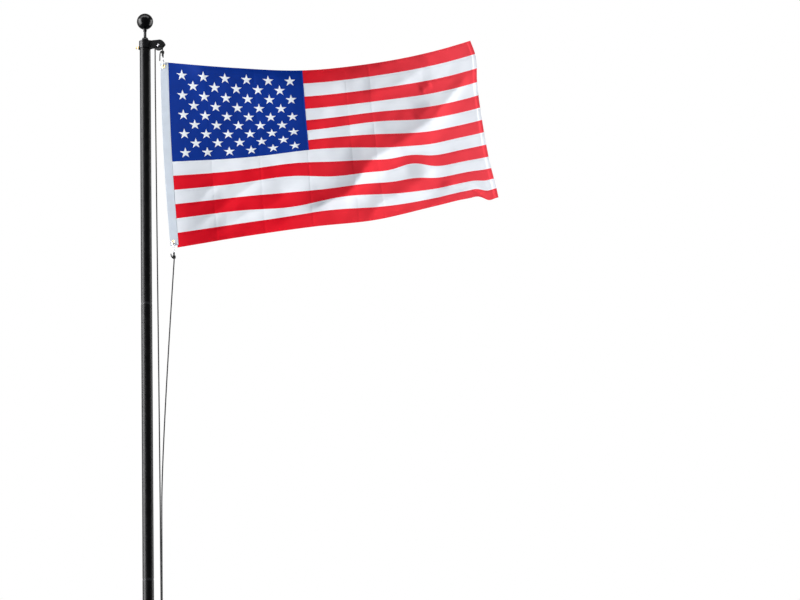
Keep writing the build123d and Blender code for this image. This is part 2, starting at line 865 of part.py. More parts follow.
# The frame's X axis points away from the flag at the top hook, so the flag's side is at negative X.
fly_x = -heading_width / 2 - cloth_gap
fly_start = top_frame.from_local_coords(Vector(fly_x, 0, heading_top))
fly_end = top_frame.from_local_coords(Vector(fly_x, 0, heading_top + heading_length))
columns = []
for i in range(fly_columns):
    points = [fly_point(i / (fly_columns - 1), j / (fly_rows - 1), fly_start, fly_end) for j in range(fly_rows)]
    columns.append(Wire([Spline(*points)]))
cloth = Shell.make_loft(columns, False).faces()[0]
save(Solid.thicken(cloth, cloth_thickness), "flag_fly")
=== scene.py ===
import json
import math

import bpy
import numpy as np
from mathutils import Matrix, Vector, noise


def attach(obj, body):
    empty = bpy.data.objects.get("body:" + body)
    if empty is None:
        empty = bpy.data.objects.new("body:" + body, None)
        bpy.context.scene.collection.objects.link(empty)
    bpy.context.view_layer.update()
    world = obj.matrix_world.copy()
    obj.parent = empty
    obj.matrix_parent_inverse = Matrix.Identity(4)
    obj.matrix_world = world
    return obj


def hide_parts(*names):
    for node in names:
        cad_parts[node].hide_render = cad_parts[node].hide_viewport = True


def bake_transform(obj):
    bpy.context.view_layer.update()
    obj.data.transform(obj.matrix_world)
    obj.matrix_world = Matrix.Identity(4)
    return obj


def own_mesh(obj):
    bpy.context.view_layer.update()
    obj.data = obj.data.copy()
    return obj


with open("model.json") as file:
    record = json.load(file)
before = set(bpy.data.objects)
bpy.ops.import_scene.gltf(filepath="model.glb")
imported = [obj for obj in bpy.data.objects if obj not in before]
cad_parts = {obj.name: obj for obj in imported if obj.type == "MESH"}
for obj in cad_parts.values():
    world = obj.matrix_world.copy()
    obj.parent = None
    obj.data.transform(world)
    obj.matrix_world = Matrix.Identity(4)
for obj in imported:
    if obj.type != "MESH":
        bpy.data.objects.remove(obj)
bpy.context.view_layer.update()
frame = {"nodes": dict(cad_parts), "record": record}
cad = frame["nodes"]

# All sizes are in metres, in the frame of the CAD model: Z is up, the pole's foot is at the origin,
# the truck's arm and the flag point along +X, and the photograph is taken from the -Y side.

# Camera of the photograph.
camera_place = Vector((3.65465, -11.95380, 1.63548))
camera_azimuth = math.radians(-73)
camera_yaw = -0.09241146
camera_pitch = 0.26874631
camera_roll = -0.03037210
camera_lens = 127.668
camera_sensor = 36.0

# Pole, pulley and hoist line, as in the CAD model.
section_pitch = 1.27
rope_radius = 0.003
axle = Vector((0.0665, 0.0, 6.3234))
rope_pitch_radius = 0.018
rope_turn_z = 6.3229
rope_end_z = 1.4705
top_eye = Vector((0.086, 0.0, 6.268))
bottom_eye = Vector((0.131, 0.0, 5.315))

# Halyard.
inner_fall_x = 0.058
outer_fall_x = 0.0645
falls_meet_y = 0.0035
falls_end_y = 0.010
falls_meet_z = 4.077
falls_end_z = 1.47
rope_to_knot = 0.0003

# Knot at each eye: a loop through the eye and wraps round the rope above it, in the hook's frame.
knot_end = -0.0319
knot_loop_z = -0.0081
knot_loop_radius = 0.0066
knot_loop_start = math.radians(-62)
knot_loop_turn = math.radians(304)
knot_loop_corners = 10
knot_loop_lean = 0.0004
knot_wraps = 3
knot_wrap_start = math.radians(-60)
knot_wrap_corners = 12
knot_wrap_radius = 0.0053
knot_wraps_start = -0.0172
knot_wraps_end = -0.0285
knot_rope_radius = 0.0027
knot_overlap = 0.002

# Turns of the halyard on the cleat.
cleat_z = 1.42
winding_turns = 1.75
winding_corners = 12
winding_start = math.radians(315)
winding_layer = 0.0064
winding_back_x = 0.040
winding_front_x = 0.071
winding_half_height = 0.029
winding_half_width = 0.0155
winding_lead = 0.01

# Braid of the ropes.
braid_sides = 16
braid_step = 0.00122
braid_relief = 0.00022
sealed_taper = (0.95, 0.88, 0.76, 0.5)
route_resolution = 48
same_place = 1e-7


# Mesh helpers


def add_mesh(name, points, faces, materials, smooth=True, slots=None):
    """Mesh object from points and faces, with a material number for each face in slots."""
    mesh = bpy.data.meshes.new(name)
    mesh.from_pydata([tuple(p) for p in points], [], faces)
    for material in materials:
        mesh.materials.append(material)
    if slots is not None:
        mesh.polygons.foreach_set("material_index", slots)
    mesh.polygons.foreach_set("use_smooth", [smooth] * len(mesh.polygons))
    mesh.validate()
    mesh.update()
    piece = bpy.data.objects.new(name, mesh)
    bpy.context.scene.collection.objects.link(piece)
    return piece


def run_along(line):
    """Distance of each point of a line from its start."""
    return np.concatenate([[0], np.cumsum(np.linalg.norm(np.diff(line, axis=0), axis=1))])


def at_distances(distances, run, values):
    """Values along a line, at distances from its start."""
    return np.stack([np.interp(distances, run, values[:, axis]) for axis in range(3)], axis=1)


def route_line(route, step):
    """Evenly spaced points on the smooth line of a route, read from its NURBS spline."""
    curve = bpy.data.curves.new("route", "CURVE")
    curve.dimensions = "3D"
    curve.resolution_u = route_resolution
    spline = curve.splines.new("NURBS")
    spline.points.add(len(route) - 1)
    for point, place in zip(spline.points, route):
        point.co = (*place, 1)
    spline.order_u = 3
    spline.use_endpoint_u = True
    holder = bpy.data.objects.new("route", curve)
    mesh = bpy.data.meshes.new_from_object(holder)
    line = np.array([v.co for v in mesh.vertices], float)
    bpy.data.objects.remove(holder)
    bpy.data.meshes.remove(mesh)
    bpy.data.curves.remove(curve)
    lengths = np.linalg.norm(np.diff(line, axis=0), axis=1)
    line = line[np.concatenate([[True], lengths > same_place])]
    run = run_along(line)
    count = max(3, round(run[-1] / step) + 1)
    return at_distances(np.linspace(0, run[-1], count), run, line)


def frames_along(line):
    """Two directions square to the line at each of its points, without twist."""
    tangents = np.gradient(line, axis=0)
    tangents /= np.linalg.norm(tangents, axis=1)[:, None]
    side = np.cross(tangents[0], (0.0, 1.0, 0.0))
    sides = []
    for tangent in tangents:
        side = side - tangent * side.dot(tangent)
        side = side / np.linalg.norm(side)
        sides.append(side)
    sides = np.array(sides)
    return sides, np.cross(tangents, sides)


def round_ring(count):
    """Each number below count with the one after it, round a ring."""
    return [(k, (k + 1) % count) for k in range(count)]


def tube_faces(rings, sides):
    """Faces of a closed tube of rings, with a point at the middle of each end."""
    start, end, last = rings * sides, rings * sides + 1, (rings - 1) * sides
    faces = []
    for low in range(0, last, sides):
        high = low + sides
        faces += [(low + k, low + after, high + after, high + k) for k, after in round_ring(sides)]
    for k, after in round_ring(sides):
        faces += [(start, after, k), (end, last + k, last + after)]
    return faces


def braided_rope(name, route, radius=rope_radius, sealed_end=False):
    """Braided rope along a smooth route: its strands stand out as rows of small diamonds."""
    line = route_line(route, braid_step)
    across, up = frames_along(line)
    angles = np.arange(braid_sides) * 2 * math.pi / braid_sides
    rings = len(line)
    checks = np.indices((rings, braid_sides)).sum(axis=0) % 2
    radii = radius - braid_relief * checks
    if sealed_end:
        radii[-len(sealed_taper):] *= np.array(sealed_taper)[:, None]
    points = (
        line[:, None, :]
        + across[:, None, :] * (radii * np.cos(angles))[:, :, None]
        + up[:, None, :] * (radii * np.sin(angles))[:, :, None]
    )
    points = np.concatenate([points.reshape(-1, 3), line[:1], line[-1:]])
    return add_mesh(name, points, tube_faces(rings, braid_sides), [finishes["rope"]])


# Material helpers


class Shader:
    """Node material with one Principled shader."""

    def __init__(self, name, base, rough, metal=0.0, specular=0.5, coat=0.0, coat_rough=0.1, sheen=0.0):
        self.material = bpy.data.materials.new(name)
        self.material.use_nodes = True
        self.tree = self.material.node_tree
        self.bsdf = self.tree.nodes["Principled BSDF"]
        self.normal = None
        settings = {
            "Base Color": (*base, 1),
            "Roughness": rough,
            "Metallic": metal,
            "Specular IOR Level": specular,
            "Coat Weight": coat,
            "Coat Roughness": coat_rough,
            "Sheen Weight": sheen,
        }
        for key, value in settings.items():
            self.bsdf.inputs[key].default_value = value

    def node(self, kind, **values):
        """Node with the given settings and inputs."""
        made = self.tree.nodes.new(kind)
        for key, value in values.items():
            if key in made.inputs:
                made.inputs[key].default_value = value
            else:
                setattr(made, key, value)
        return made

    def link(self, start, end):
        self.tree.links.new(start, end)

    def place(self, scale=(1, 1, 1), uv=False):
        """Coordinates in the part's frame, or along the flat cloth, with a scale for each axis."""
        coordinates = self.node("ShaderNodeTexCoord")
        mapping = self.node("ShaderNodeMapping")
        mapping.inputs["Scale"].default_value = scale
        self.link(coordinates.outputs["UV" if uv else "Object"], mapping.inputs["Vector"])
        return mapping.outputs["Vector"]

    def noise(self, scale, detail=3.0, stretch=(1, 1, 1), uv=False):
        """Noise of that many waves to the metre."""
        made = self.node("ShaderNodeTexNoise", Scale=scale, Detail=detail)
        self.link(self.place(stretch, uv), made.inputs["Vector"])
        return made.outputs["Fac"]

    def wave(self, scale, direction, place, distortion=0.0):
        """Bands of that scale across one direction."""
        made = self.node("ShaderNodeTexWave", Scale=scale, bands_direction=direction, Distortion=distortion)
        self.link(place, made.inputs["Vector"])
        return made.outputs["Fac"]

    def spread(self, value, low, high, to_low=0.0, to_high=1.0):
        """Value from between low and high brought to between to_low and to_high."""
        made = self.node("ShaderNodeMapRange")
        for key, number in (("From Min", low), ("From Max", high), ("To Min", to_low), ("To Max", to_high)):
            made.inputs[key].default_value = number
        self.link(value, made.inputs["Value"])
        return made.outputs["Result"]

    def math(self, operation, first, second):
        made = self.node("ShaderNodeMath", operation=operation)
        for socket, value in zip(made.inputs, (first, second)):
            if isinstance(value, (int, float)):
                socket.default_value = value
            else:
                self.link(value, socket)
        return made.outputs["Value"]

    def tint(self, share, colour):
        """Base colour brought towards another one by a share that varies over the surface."""
        made = self.node("ShaderNodeMix", data_type="RGBA")
        before = self.bsdf.inputs["Base Color"]
        if before.is_linked:
            self.link(before.links[0].from_socket, made.inputs["A"])
        else:
            made.inputs["A"].default_value = before.default_value
        made.inputs["B"].default_value = (*colour, 1)
        self.link(share, made.inputs["Factor"])
        self.link(made.outputs["Result"], before)

    def rough(self, value):
        self.link(value, self.bsdf.inputs["Roughness"])

    def bump(self, height, strength, distance):
        made = self.node("ShaderNodeBump", Strength=strength, Distance=distance)
        self.link(height, made.inputs["Height"])
        if self.normal is not None:
            self.link(self.normal, made.inputs["Normal"])
        self.normal = made.outputs["Normal"]
        self.link(self.normal, self.bsdf.inputs["Normal"])

    def patches(self, scale, low, high, colour, detail=3.0, stretch=(1, 1, 1)):
        """Patches of another colour, where noise of that scale goes from low to high."""
        self.tint(self.spread(self.noise(scale, detail, stretch), low, high), colour)

    def wear(self, scale, smooth, dull, detail=3.0, stretch=(1, 1, 1)):
        """Roughness between smooth and dull, by noise of that scale."""
        self.rough(self.spread(self.noise(scale, detail, stretch), 0.3, 0.7, smooth, dull))

    def grain(self, scale, strength, distance, detail=2.0, stretch=(1, 1, 1)):
        """Bumps of that scale."""
        self.bump(self.noise(scale, detail, stretch), strength, distance)


def pole_paint():
    """Satin black powder coat: fine orange peel, and a paler, scuffed band at each joint that is also
    painted highlight for the light on the joint's shoulder.
    """
    paint = Shader("pole_paint", (0.0005, 0.0005, 0.0007), 0.34, specular=0.025)
    paint.patches(9.0, 0.35, 0.75, (0.0011, 0.0012, 0.0016), stretch=(1, 1, 0.3))
    separate = paint.node("ShaderNodeSeparateXYZ")
    paint.link(paint.place(), separate.inputs["Vector"])
    # Painted highlight and scuffs: the paint turns paler in a band about 14 mm tall at each joint, mottled
    # by noise.
    along = paint.math("MODULO", paint.math("ADD", separate.outputs["Z"], 0.004), section_pitch)
    joint_scuffs_and_highlight = paint.spread(along, 0.004, 0.014, 1.0, 0.0)
    scuffs = paint.spread(paint.noise(420.0, stretch=(1, 1, 0.4)), 0.42, 0.62)
    paint.tint(paint.math("MULTIPLY", joint_scuffs_and_highlight, scuffs), (0.05, 0.05, 0.053))
    scratches = paint.spread(paint.noise(160.0, stretch=(1, 1, 0.04)), 0.66, 0.74)
    paint.tint(paint.math("MULTIPLY", scratches, 0.35), (0.02, 0.02, 0.022))
    paint.wear(30.0, 0.33, 0.42)
    paint.grain(900.0, 0.12, 0.0003)
    return paint.material


def cast_paint():
    """Black coat on a sand casting: a coarser skin and paler patches at random."""
    paint = Shader("cast_paint", (0.0018, 0.0019, 0.0024), 0.32, specular=0.035)
    paint.patches(60.0, 0.4, 0.7, (0.0045, 0.0047, 0.0056), detail=5.0)
    paint.wear(260.0, 0.28, 0.38, detail=4.0)
    paint.grain(1500.0, 0.16, 0.0003, detail=4.0)
    paint.grain(160.0, 0.08, 0.0008, detail=3.0)
    return paint.material


def ball_gloss():
    """Gloss black enamel with a clear top and very light wipe marks."""
    paint = Shader("ball_gloss", (0.0005, 0.0005, 0.0007), 0.24, specular=0.026, coat=0.01, coat_rough=0.08)
    paint.patches(14.0, 0.4, 0.7, (0.0018, 0.0019, 0.0024))
    paint.rough(paint.spread(paint.noise(55.0, 6.0, (1, 1, 4)), 0.35, 0.75, 0.19, 0.29))
    paint.grain(120.0, 0.03, 0.0006)
    return paint.material


def black_plastic():
    """Moulded nylon of the pulley."""
    plastic = Shader("black_plastic", (0.0045, 0.0045, 0.005), 0.48, specular=0.05)
    plastic.patches(90.0, 0.4, 0.7, (0.01, 0.01, 0.011), detail=4.0)
    plastic.wear(400.0, 0.42, 0.58)
    plastic.grain(2600.0, 0.2, 0.0002)
    return plastic.material


def bright_steel():
    """Turned bright steel with fine tool marks."""
    steel = Shader("bright_steel", (0.25, 0.25, 0.26), 0.22, metal=1.0)
    steel.patches(350.0, 0.4, 0.7, (0.16, 0.16, 0.17), detail=5.0)
    steel.wear(700.0, 0.18, 0.34, stretch=(1, 5, 1))
    steel.grain(1800.0, 0.12, 0.0002, stretch=(1, 6, 1))
    return steel.material


def brass():
    """Plain brass, duller where it was not rubbed."""
    metal = Shader("brass", (0.46, 0.29, 0.09), 0.27, metal=1.0)
    metal.patches(180.0, 0.42, 0.68, (0.3, 0.18, 0.055), detail=5.0)
    metal.wear(500.0, 0.2, 0.42, detail=4.0)
    metal.grain(1400.0, 0.1, 0.0002)
    return metal.material


def hook_metal():
    """Dull nickel plate on a die casting."""
    metal = Shader("hook_metal", (0.19, 0.193, 0.203), 0.38, metal=1.0)
    metal.patches(240.0, 0.4, 0.7, (0.12, 0.12, 0.13), detail=5.0)
    metal.wear(600.0, 0.26, 0.46, detail=4.0)
    metal.grain(1200.0, 0.18, 0.0003, detail=3.0)
    return metal.material


def rope():
    """Black braided polyester: soft, with fine yarns and a little dust."""
    braid = Shader("rope_black", (0.005, 0.005, 0.0055), 0.72, specular=0.05, sheen=0.03)
    braid.patches(900.0, 0.45, 0.75, (0.018, 0.018, 0.019))
    braid.wear(1500.0, 0.62, 0.82)
    braid.grain(5200.0, 0.4, 0.0002, stretch=(1, 1, 0.35))
    return braid.material


# Each of these has the name of its slot in the record.
kinds = (pole_paint, cast_paint, ball_gloss, black_plastic, bright_steel, brass, hook_metal, rope)
finishes = {kind.__name__: kind() for kind in kinds}
for part in frame["record"]["subparts"]:
    finish = finishes.get(part["material_slot"])
    if finish is not None:
        mesh = cad[part["node"]].data
        mesh.materials.clear()
        mesh.materials.append(finish)


# Halyard


def on_body(piece, body, slot, *replaced):
    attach(piece, body)
    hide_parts(*replaced)
    return piece


along_hoist = (bottom_eye - top_eye).normalized()


def eye_frame(eye, along):
    """Frame of a hook: origin at its eye, Z towards the flag, Y along the pole's Y."""
    across = Vector((0, 1, 0)).cross(along)
    side = along.cross(across)
    return Matrix.Translation(eye) @ Matrix((across, side, along)).transposed().to_4x4()


top_frame = eye_frame(top_eye, along_hoist)
bottom_frame = eye_frame(bottom_eye, -along_hoist)

top_run_start = Vector((axle.x + rope_pitch_radius, 0, rope_turn_z))
octagon = rope_pitch_radius * math.tan(math.pi / 8)
over_pulley = [
    (axle.x - rope_pitch_radius, 0, axle.z + octagon),
    (axle.x - octagon, 0, axle.z + rope_pitch_radius),
    (axle.x + octagon, 0, axle.z + rope_pitch_radius),
    (axle.x + rope_pitch_radius, 0, axle.z + octagon),
    top_run_start,
]


def cleat_turns():
    """Figure of eight of the halyard round the cleat, from its inner fall to its outer one."""
    places = [(inner_fall_x, falls_end_y, falls_end_z - winding_lead)]
    for step in range(round(winding_turns * winding_corners) + 1):
        turn = step / winding_corners
        angle = winding_start - 2 * math.pi * turn
        layer = winding_layer * turn
        front = winding_front_x + 2 * layer
        x = (front + winding_back_x) / 2 - (front - winding_back_x) / 2 * math.cos(2 * angle)
        y = -(winding_half_width + layer) * math.sin(2 * angle)
        places.append((x, y, cleat_z + (winding_half_height + layer) * math.cos(angle)))
    places.append((outer_fall_x, -falls_end_y, falls_end_z - winding_lead))
    places.append((outer_fall_x, -falls_end_y, rope_end_z))
    return places


inner_route = [
    (inner_fall_x, falls_end_y, falls_end_z),
    (inner_fall_x, falls_end_y * 0.6, falls_end_z + 1.2),
    (inner_fall_x, falls_meet_y, falls_meet_z),
    (axle.x - rope_pitch_radius - 0.0006, 0, axle.z - 0.25),
    (axle.x - rope_pitch_radius, 0, axle.z - 0.03),
]
inner_rope = braided_rope("halyard_inner", cleat_turns()[::-1] + inner_route + over_pulley)
on_body(inner_rope, "pole", "rope", "halyard_winding", "halyard_inner_fall", "halyard_bight")

top_run_end = top_frame @ Vector((0, 0, knot_end - rope_to_knot))
top_route = [top_run_start, top_run_start.lerp(top_run_end, 0.5), top_run_end]
top_run = braided_rope("halyard_top", top_route)
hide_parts("halyard_top_run")
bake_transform(top_run)

outer_top = bottom_frame @ Vector((0, 0, knot_end - rope_to_knot))
outer_route = [
    (outer_fall_x, -falls_end_y, rope_end_z),
    (outer_fall_x, -falls_end_y * 0.6, rope_end_z + 1.2),
    (outer_fall_x, -falls_meet_y, falls_meet_z - 0.2),
    (outer_fall_x + 0.003, -falls_meet_y * 0.7, falls_meet_z + 0.32),
    outer_top,
]
outer_rope = braided_rope("halyard_outer", outer_route)
on_body(outer_rope, "pole", "rope", "halyard_outer_fall")
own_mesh(outer_rope)


def knot_route(tail):
    """The rope comes down to the eye, passes through it, wraps round itself and ends in its tail."""
    places = [(0, 0, knot_end - knot_overlap), (0, 0, -0.026), (0, 0.0004, -0.0195)]
    for step in range(knot_loop_corners + 1):
        share = step / knot_loop_corners
        angle = knot_loop_start + knot_loop_turn * share
        across = knot_loop_radius * math.cos(angle)
        height = knot_loop_z + knot_loop_radius * math.sin(angle)
        places.append((knot_loop_lean * (2 * share - 1), across, height))
    steps = knot_wrap_corners * knot_wraps
    for step in range(steps + 1):
        angle = knot_wrap_start - 2 * math.pi * step / knot_wrap_corners
        height = knot_wraps_start + (knot_wraps_end - knot_wraps_start) * step / steps
        places.append((knot_wrap_radius * math.sin(angle), knot_wrap_radius * math.cos(angle), height))
    return places + list(tail)


top_tail = (
    (0.0068, -0.0085, -0.0255), (0.0095, -0.0115, -0.014),
    (0.0108, -0.013, 0.002), (0.0125, -0.0135, 0.0245),
)
bottom_tail = ((-0.0068, -0.0065, -0.0262), (-0.0105, -0.0078, -0.0215), (-0.0125, -0.0085, -0.008))
for place, hook_frame, tail in (("top", top_frame, top_tail), ("bottom", bottom_frame, bottom_tail)):
    route = [hook_frame @ Vector(point) for point in knot_route(tail)]
    tied = braided_rope(f"knot_rope_{place}", route, knot_rope_radius, sealed_end=True)
    on_body(tied, "hoist", "rope", f"knot_{place}")


# Flag

# The flag's plane before its folds move it. Each edge is a line of places: a share along it, then the
# height of a level edge or the distance from the pole of an upright one.
top_edge = (
    (0.0, 6.236), (0.215, 6.176), (0.43, 6.130), (0.62, 6.127), (0.81, 6.145), (0.905, 6.164), (1.0, 6.190),
)
bottom_edge = (
    (0.0, 5.336), (0.215, 5.360), (0.43, 5.376), (0.62, 5.381), (0.81, 5.421), (0.905, 5.441), (1.0, 5.435),
)
hoist_edge = ((0.0, 0.112), (1.0, 0.157))
canton_edge = ((0.0, 0.753), (1.0, 0.795))
fly_edge = (
    (0.0, 1.541), (0.08, 1.562), (0.23, 1.565), (0.46, 1.581), (0.69, 1.604), (0.92, 1.634), (1.0, 1.642),
)

# Where the folds draw the stripes up or down between the top and bottom edges: the middle as shares along
# the fly and down the hoist, the reach along each, and the rise.
stripe_rises = (
    (0.31, 0.22, 0.28, 0.29, -0.018),
    (0.51, 0.74, 0.20, 0.28, 0.070),
    (0.83, 0.71, 0.30, 0.45, -0.054),
    (0.50, 0.71, 0.12, 0.12, -0.053),
    (0.76, 0.69, 0.06, 0.10, 0.034),
    (0.94, 0.23, 0.18, 0.24, -0.020),
    (0.38, 0.83, 0.13, 0.08, -0.045),
    (0.67, 0.40, 0.14, 0.11, 0.023),
)

stripe_count = 13
canton_share = 0.43
canton_stripes = 7
cloth_length = 1.50
cloth_height = 0.891
cloth_thickness = 0.0005
into_heading = 0.008
stripe_rows = (0.0, 0.02, 0.035, 0.105, 0.12, 0.25, 0.375, 0.5, 0.625, 0.75, 0.875)
seam_shares = (0.03, 0.11)
canton_columns = 90
fly_columns = 118
column_gap = 0.0012
row_gap = 0.0006
seam_rise = 0.0004
hem_rise = 0.0006
hem_width = 0.016
narrow_hem = 0.0072
hem_slope = 0.0006
hem_margin = 0.0004
slope_step = 0.0008
tiny = 1e-6

# Creases: points as shares along the fly and down the hoist, height, width on the upper left side,
# width on the lower right side. The main one is a broad swell with a crest on it.
main_crease = (
    (0.40, 0.90), (0.53, 0.83), (0.575, 0.74), (0.61, 0.654), (0.66, 0.577),
    (0.745, 0.50), (0.81, 0.423), (0.905, 0.346), (0.96, 0.27),
)
second_crease = ((0.58, 1.04), (0.605, 0.97), (0.655, 0.885), (0.75, 0.81), (0.805, 0.73), (0.85, 0.65))
swell_start = ((-0.35, 1.35), (-0.1, 1.15), (0.3, 0.97))
swell_end = ((0.86, 0.28), (0.85, 0.1), (0.84, -0.15), (0.84, -0.6))
swell = (*swell_start, *main_crease[1:-2], *swell_end)
creases = (
    (swell, 0.038, 0.85, 0.65),
    (main_crease[:-1], 0.021, 0.13, 0.10),
    (second_crease, 0.014, 0.12, 0.09),
    (((0.62, 0.18), (0.75, 0.14), (0.84, 0.06)), 0.008, 0.09, 0.05),
    (((0.03, 0.833), (0.084, 0.747), (0.142, 0.66)), 0.004, 0.06, 0.03),
    (((0.0, 0.97), (0.114, 0.847), (0.2, 0.753), (0.30, 0.65)), 0.006, 0.07, 0.035),
    (((0.05, 1.0), (0.20, 0.885), (0.31, 0.81), (0.40, 0.70)), 0.005, 0.08, 0.04),
    (((0.786, 0.38), (0.856, 0.287)), 0.006, 0.04, 0.03),
    (((0.842, 0.377), (0.914, 0.267), (0.98, 0.167)), 0.008, 0.045, 0.035),
    (((0.812, 0.207), (0.852, 0.177)), 0.006, 0.035, 0.02),
    (((0.834, 0.793), (0.902, 0.917), (0.974, 1.0)), 0.006, 0.05, 0.05),
)
crease_crest = 0.008
crease_steepness = 1.6
crease_steps = 24
crease_fade = 0.22
longest_fade = 0.12
swell_steepness = 1.15
packing_lines = (0.122, 0.274, 0.426, 0.57, 0.65)
packing_width = 0.004
packing_depth = 0.0007
packing_columns = (-0.0035, -0.0012, 0.0012, 0.0035)
top_lean = 0.036
top_lean_share = 0.10
lean_grown = 0.1
lean_end = 0.75
lean_fade = 0.25
hoist_bow = 0.008
bow_reach = 0.4
corner_waves = ((0.935, 0.006), (0.972, -0.013))
corner_width = 0.018
corner_start = 0.72
corner_curve = 1.5
ripple_height = 0.005
ripple_size = 0.16
fine_ripple = 0.45
fine_ripple_scale = 2.3
still_share = 0.16


def ease(share):
    """Share from 0 to 1 that starts and ends gently."""
    return share * share * (3 - 2 * share)


def catmull(values, knots, share):
    """Smooth value at each share through values at knots, along the last axis."""
    values, knots = np.array(values, float), np.array(knots, float)
    slopes = np.gradient(values, knots, axis=-1)
    k = np.clip(np.searchsorted(knots, share, side="right") - 1, 0, len(knots) - 2)
    width = knots[k + 1] - knots[k]
    t = (share - knots[k]) / width
    before, after = values[..., k], values[..., k + 1]
    bend = (slopes[..., k] * (1 - t) - slopes[..., k + 1] * t) * width * t * (1 - t)
    return before + (after - before) * ease(t) + bend


def edge_line(places, share):
    """Smooth value at each share along an edge of the flag."""
    knots, values = zip(*places)
    return catmull(values, knots, share)


def flat_places(u, v):
    """Places along X and Z in the flag's plane, for arrays of u along the fly and v down the hoist."""
    hoist, canton, fly = (edge_line(edge, v) for edge in (hoist_edge, canton_edge, fly_edge))
    in_canton = hoist + (canton - hoist) * u / canton_share
    past_canton = canton + (fly - canton) * (u - canton_share) / (1 - canton_share)
    height = (1 - v) * edge_line(top_edge, u) + v * edge_line(bottom_edge, u)
    inside = 4 * v * (1 - v)
    for along, down, reach_along, reach_down, rise in stripe_rises:
        share = np.exp(-(((u - along) / reach_along) ** 2) - ((v - down) / reach_down) ** 2)
        height = height + rise * share * inside * (2 - inside)
    return np.where(u < canton_share, in_canton, past_canton), height


def crease_line(points):
    """Smooth line through a crease's points, in metres on the flat cloth."""
    points = np.array(points, float) * (cloth_length, cloth_height)
    return catmull(points.T, np.linspace(0, 1, len(points)), np.linspace(0, 1, crease_steps)).T


def crease_height(points, height, upper, lower, steepness, s, t):
    """Ridge away from the viewer that fades out at both ends of its line."""
    line = crease_line(points)
    run = run_along(line)
    lengths = np.diff(run)
    direction = np.diff(line, axis=0) / lengths[:, None]
    gap = np.stack([s, t], axis=-1)[..., None, :] - line[:-1]
    share = np.clip((gap * direction).sum(axis=-1), 0, lengths)
    distance = np.linalg.norm(gap - share[..., None] * direction, axis=-1)
    side = np.sign(direction[:, 0] * gap[..., 1] - direction[:, 1] * gap[..., 0])
    nearest = distance.argmin(axis=-1)[..., None]
    across = np.take_along_axis(side * distance, nearest, axis=-1)[..., 0]
    along = np.take_along_axis(run[:-1] + share, nearest, axis=-1)[..., 0]
    width = np.where(across > 0, lower, upper)
    crest = np.sqrt(across**2 + crease_crest**2) - crease_crest
    profile = np.clip(1 - crest / width, 0, 1) ** steepness
    fade_run = min(crease_fade * run[-1], longest_fade)
    fade = np.clip(along / fade_run, 0, 1) * np.clip((run[-1] - along) / fade_run, 0, 1)
    return height * profile * ease(fade)


def ripple(along, down):
    """Soft unevenness at one place of the flat cloth, from about -1 to 1."""
    a, b = along / ripple_size, down / ripple_size
    skewed = (a * fine_ripple_scale + down * 4, b * fine_ripple_scale - along * 3, 9.1)
    return noise.noise((a, b, 3.7)) + fine_ripple * noise.noise(skewed)


def cloth_depth(u, v):
    """How far the cloth stands away from the viewer, for arrays of u along the fly and v down."""
    s, t = u * cloth_length, v * cloth_height
    depth = np.zeros(u.shape)
    for points, height, upper, lower in creases:
        steepness = swell_steepness if points is swell else crease_steepness
        depth = depth + crease_height(points, height, upper, lower, steepness, s, t)
    for line in packing_lines:
        depth = depth + packing_depth * np.exp(-(((s - line * cloth_length) / packing_width) ** 2))
    lean = np.clip(1 - v / top_lean_share, 0, 1) ** 2
    lean_along = np.clip(u / lean_grown, 0, 1) * np.clip((lean_end - u) / lean_fade, 0, 1)
    depth = depth - top_lean * lean * lean_along
    ripples = np.array([ripple(*place) for place in zip(s.ravel(), t.ravel())]).reshape(u.shape)
    return (depth + ripple_height * ripples) * ease(np.clip(u / still_share, 0, 1))


def cloth_points(u, v):
    """Points of the cloth; folds move them along the line from the camera, so the stripes stay in place."""
    u, v = np.broadcast_arrays(np.asarray(u, float), np.asarray(v, float))
    bowed = hoist_bow * np.sin(math.pi * np.clip(v, 0, 1)) * np.clip(1 - u / bow_reach, 0, 1) ** 2
    low = np.clip((v - corner_start) / (1 - corner_start), 0, 1.1) ** corner_curve
    wave = sum(rise * np.exp(-(((u - place) / corner_width) ** 2)) for place, rise in corner_waves)
    across, height = flat_places(u, v)
    flat = np.stack([across - bowed, np.zeros(u.shape), height + wave * low], axis=-1)
    reach = 1 + cloth_depth(u, v)[..., None] / -camera_place.y
    eye = np.array(camera_place)
    return eye + (flat - eye) * reach


def cloth_columns():
    """Shares along the fly of the columns of points, closer together at creases, seam and hem."""
    near = [line + step for line in packing_lines for step in packing_columns]
    for seam, width in ((canton_share, narrow_hem), (1, hem_width)):
        near += [seam - width / cloth_length, seam - (width - hem_slope) / cloth_length]
    near += [canton_share - hem_margin, -into_heading / cloth_length, -into_heading / cloth_length / 2]
    canton = np.linspace(0, canton_share, canton_columns + 1)
    even = np.concatenate([canton, np.linspace(canton_share, 1, fly_columns + 1)[1:]])
    fixed = (0, canton_share, 1)
    kept = [u for u in even if u in fixed or min(abs(u - place) for place in near) > column_gap]
    return np.array(sorted(near + kept))


def cloth_rows():
    """Shares down the hoist of the rows of points, closer together at the seams and hems."""
    rows = [(stripe + share) / stripe_count for stripe in range(stripe_count) for share in stripe_rows]
    hem = narrow_hem / cloth_height
    return np.array(sorted(rows + [1 - hem, 1 - hem + row_gap, 1.0]))


def half_thickness(u, v):
    """Half the thickness of the cloth with what its seams and hems add."""
    share = v * stripe_count - np.floor(v * stripe_count + tiny)
    in_canton = (u < canton_share - tiny) & (v < canton_stripes / stripe_count - tiny)
    seam = (share > seam_shares[0]) & (share < seam_shares[1]) & ~in_canton
    canton_seam = in_canton & (u > canton_share - (narrow_hem - hem_margin) / cloth_length)
    hem = (v * cloth_height < narrow_hem) | ((1 - v) * cloth_height < narrow_hem - hem_margin)
    fly_hem = u > 1 - (hem_width - hem_margin) / cloth_length
    rise = np.where(seam | canton_seam | hem, seam_rise, 0.0) + np.where(fly_hem, hem_rise, 0.0)
    return cloth_thickness / 2 + rise


